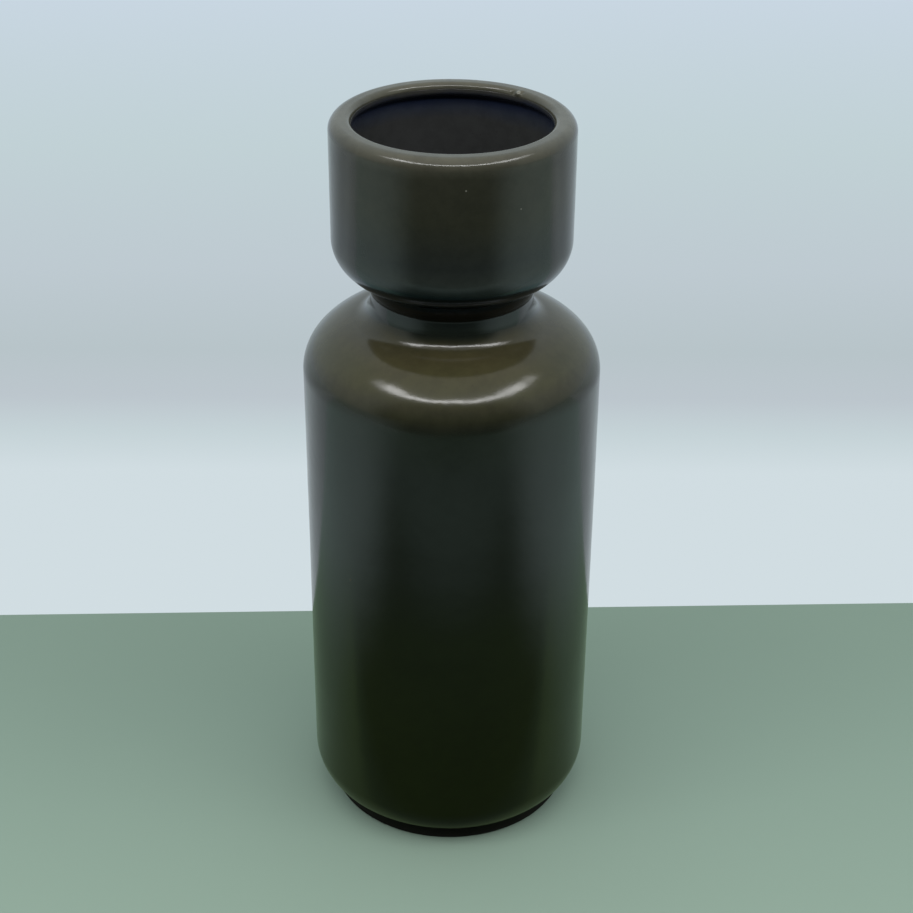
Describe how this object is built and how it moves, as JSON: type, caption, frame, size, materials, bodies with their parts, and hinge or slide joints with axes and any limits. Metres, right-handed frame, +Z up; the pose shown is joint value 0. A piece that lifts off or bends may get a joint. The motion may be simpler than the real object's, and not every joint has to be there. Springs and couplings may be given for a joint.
{
  "type": "bottle vase",
  "caption": "Tall cylindrical bottle vase with a rounded shoulder, a short neck and a cup-shaped mouth with an inturned lip; it holds cut flowers and stands on a bare foot ring.",
  "frame": {"origin": "centre of the circle on which the foot ring rests", "axes": "+Z up along the vase's axis of revolution; +X and +Y are any two square directions, because the vase is round"},
  "size_m": [0.12, 0.12, 0.3098],
  "materials": {
    "stoneware_clay": "fired stoneware, fine grained and matt",
    "bare_foot_clay": "unglazed dark stoneware, matt",
    "fired_slip": "fired joining slip, matt",
    "outer_glaze": "dark olive glaze, soft satin gloss",
    "inner_glaze": "dark neutral liner glaze, satin"
  },
  "bodies": {
    "root": {"foot_ring": "bare_foot_clay", "foot_joint_slip": "fired_slip", "base_disc": "stoneware_clay", "base_joint_slip": "fired_slip", "bottle_body": "stoneware_clay", "neck_joint_slip": "fired_slip", "mouth_cup": "stoneware_clay", "lip_joint_slip": "fired_slip", "lip_ring": "stoneware_clay", "outer_glaze": "outer_glaze", "inner_glaze": "inner_glaze"}
  },
  "joints": []
}
